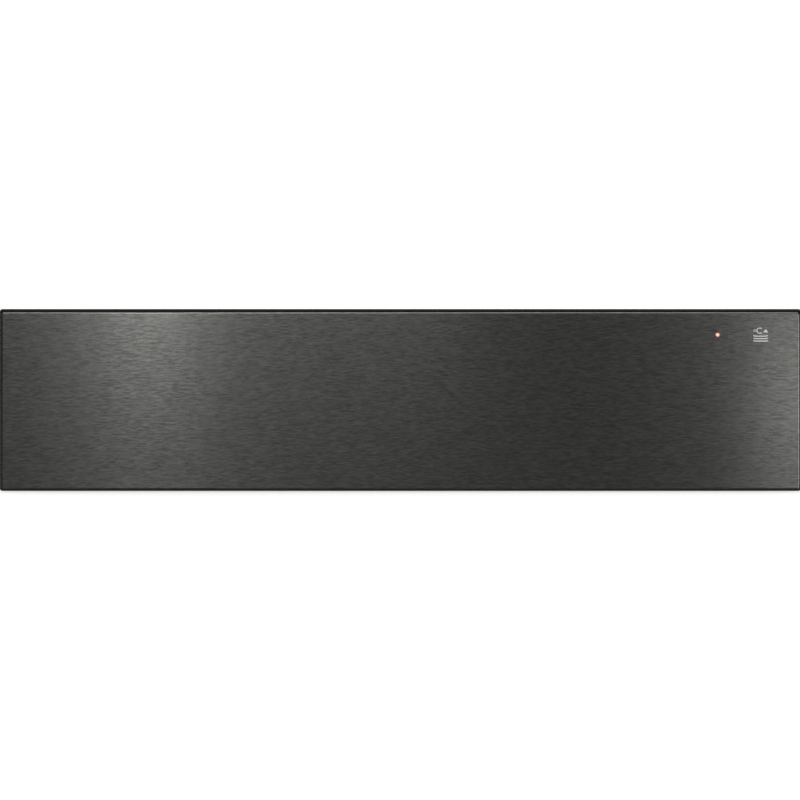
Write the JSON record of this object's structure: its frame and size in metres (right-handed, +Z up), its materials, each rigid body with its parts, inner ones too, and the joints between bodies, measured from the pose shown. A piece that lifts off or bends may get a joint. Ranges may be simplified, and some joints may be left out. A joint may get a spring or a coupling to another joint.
{
  "type": "built-in warming drawer",
  "caption": "Handleless built-in warming drawer: dark brushed steel front, push-to-open tub on telescopic rails, warm air unit, recessed temperature knob.",
  "frame": {"origin": "centre of the footprint, on the surface that the feet stand on, drawer shut", "axes": "+X to the right seen from the front, +Y towards the back of the niche, +Z up; the front faces -Y"},
  "size_m": [0.597, 0.547, 0.1365],
  "materials": {
    "black_steel": "dark brushed stainless, horizontal grain",
    "black_moulding": "fine matt grain",
    "mineral_wool": "pressed fibre slab",
    "stainless": "satin cold-rolled",
    "silicone": "matt silicone",
    "clear_guide": "clear, polished ends",
    "zinc_steel": "bright zinc plated",
    "yellow_zinc": "yellow passivated zinc",
    "galvanised": "galvanised, fine spangle",
    "black_painted": "black powder coat",
    "foot_rubber": "matt rubber",
    "heater_sheath": "heat-tinted sheath",
    "lamination": "stacked electrical steel",
    "copper_winding": "enamelled copper wire",
    "ceramic": "glazed ceramic",
    "switch_plastic": "smooth black",
    "copper_tube": "drawn copper capillary",
    "lamp_lens": "orange diffusing lens",
    "terminal_plastic": "heat-resistant moulding",
    "wire_sleeve": "silicone sleeve",
    "latch_plastic": "acetal",
    "latch_dark": "acetal with a magnet tip",
    "spring_steel": "drawn spring wire",
    "aluminium": "pressed sheet"
  },
  "bodies": {
    "housing": {"base_pan": "galvanised", "side_panel_left": "galvanised", "side_panel_right": "galvanised", "rear_panel": "galvanised", "top_cover": "galvanised", "front_frame": "black_painted", "feet": "foot_rubber", "rail_bracket_left": "galvanised", "rail_bracket_right": "galvanised", "outer_rail_left": "zinc_steel", "outer_rail_right": "zinc_steel", "rail_rivets": "zinc_steel", "left_column_trim": "black_moulding", "rear_bulkhead": "stainless", "air_chamber": "galvanised", "heating_ring": "heater_sheath", "motor_stack": "lamination", "motor_coil": "copper_winding", "motor_brackets": "zinc_steel", "bulkhead_fixings": "zinc_steel", "safety_cutout": "ceramic", "control_bezel": "black_moulding", "switch_body": "switch_plastic", "thermostat_body": "zinc_steel", "thermostat_capillary": "copper_tube", "indicator_lamp": "lamp_lens", "terminal_block": "terminal_plastic", "cable_gland": "black_moulding", "wiring_loom": "wire_sleeve", "latch_bodies": "latch_plastic", "chassis_screws": "zinc_steel", "latch_springs": "spring_steel"},
    "plungers": {"latch_plungers": "latch_dark"},
    "drawer": {"fascia": "black_steel", "front_carrier": "black_moulding", "front_insulation": "mineral_wool", "front_liner": "stainless", "front_seal": "silicone", "light_guide": "clear_guide", "tub_pan": "stainless", "tub_side_left": "stainless", "tub_side_right": "stainless", "tub_back_wall": "stainless", "antislip_mat": "silicone", "strike_plates": "zinc_steel", "inner_rail_left": "zinc_steel", "inner_rail_right": "zinc_steel", "tub_screws": "zinc_steel", "front_screws": "zinc_steel"},
    "mid_rails": {"mid_rail_left": "zinc_steel", "mid_rail_right": "zinc_steel"},
    "outer_cages": {"outer_cage_left": "yellow_zinc", "outer_cage_right": "yellow_zinc"},
    "inner_cages": {"inner_cage_left": "yellow_zinc", "inner_cage_right": "yellow_zinc"},
    "knob": {"temperature_knob": "black_moulding", "thermostat_shaft": "zinc_steel"},
    "rocker": {"rocker_paddle": "switch_plastic"},
    "fan": {"fan_wheel": "aluminium", "fan_spindle": "zinc_steel"}
  },
  "joints": [
    {"name": "push_in", "type": "slide", "parent": "housing", "child": "plungers", "axis": [0, -1, 0], "range_m": [-0.003, 0.018], "deforming": ["latch_springs", "front_seal"]},
    {"name": "drawer_slide", "type": "slide", "parent": "plungers", "child": "drawer", "axis": [0, -1, 0], "range_m": [0, 0.412]},
    {"name": "mid_rail_slide", "type": "slide", "parent": "housing", "child": "mid_rails", "axis": [0, -1, 0], "range_m": [0, 0.206]},
    {"name": "outer_cage_slide", "type": "slide", "parent": "housing", "child": "outer_cages", "axis": [0, -1, 0], "range_m": [0, 0.103]},
    {"name": "inner_cage_slide", "type": "slide", "parent": "housing", "child": "inner_cages", "axis": [0, -1, 0], "range_m": [0, 0.309]},
    {"name": "knob_turn", "type": "hinge", "parent": "housing", "child": "knob", "pos_m": [0.2535, -0.2277, 0.043], "axis": [0, 1, 0], "range_deg": [0, 270]},
    {"name": "rocker_tilt", "type": "hinge", "parent": "housing", "child": "rocker", "pos_m": [0.2535, -0.2267, 0.084], "axis": [1, 0, 0], "range_deg": [0, 16]},
    {"name": "fan_spin", "type": "hinge", "parent": "housing", "child": "fan", "pos_m": [0, 0.2319, 0.068], "axis": [0, 1, 0], "continuous": true}
  ],
  "couplings": [
    {"joint": "mid_rail_slide", "follows": "drawer_slide", "ratio": 0.5},
    {"joint": "outer_cage_slide", "follows": "drawer_slide", "ratio": 0.25},
    {"joint": "inner_cage_slide", "follows": "drawer_slide", "ratio": 0.75}
  ]
}
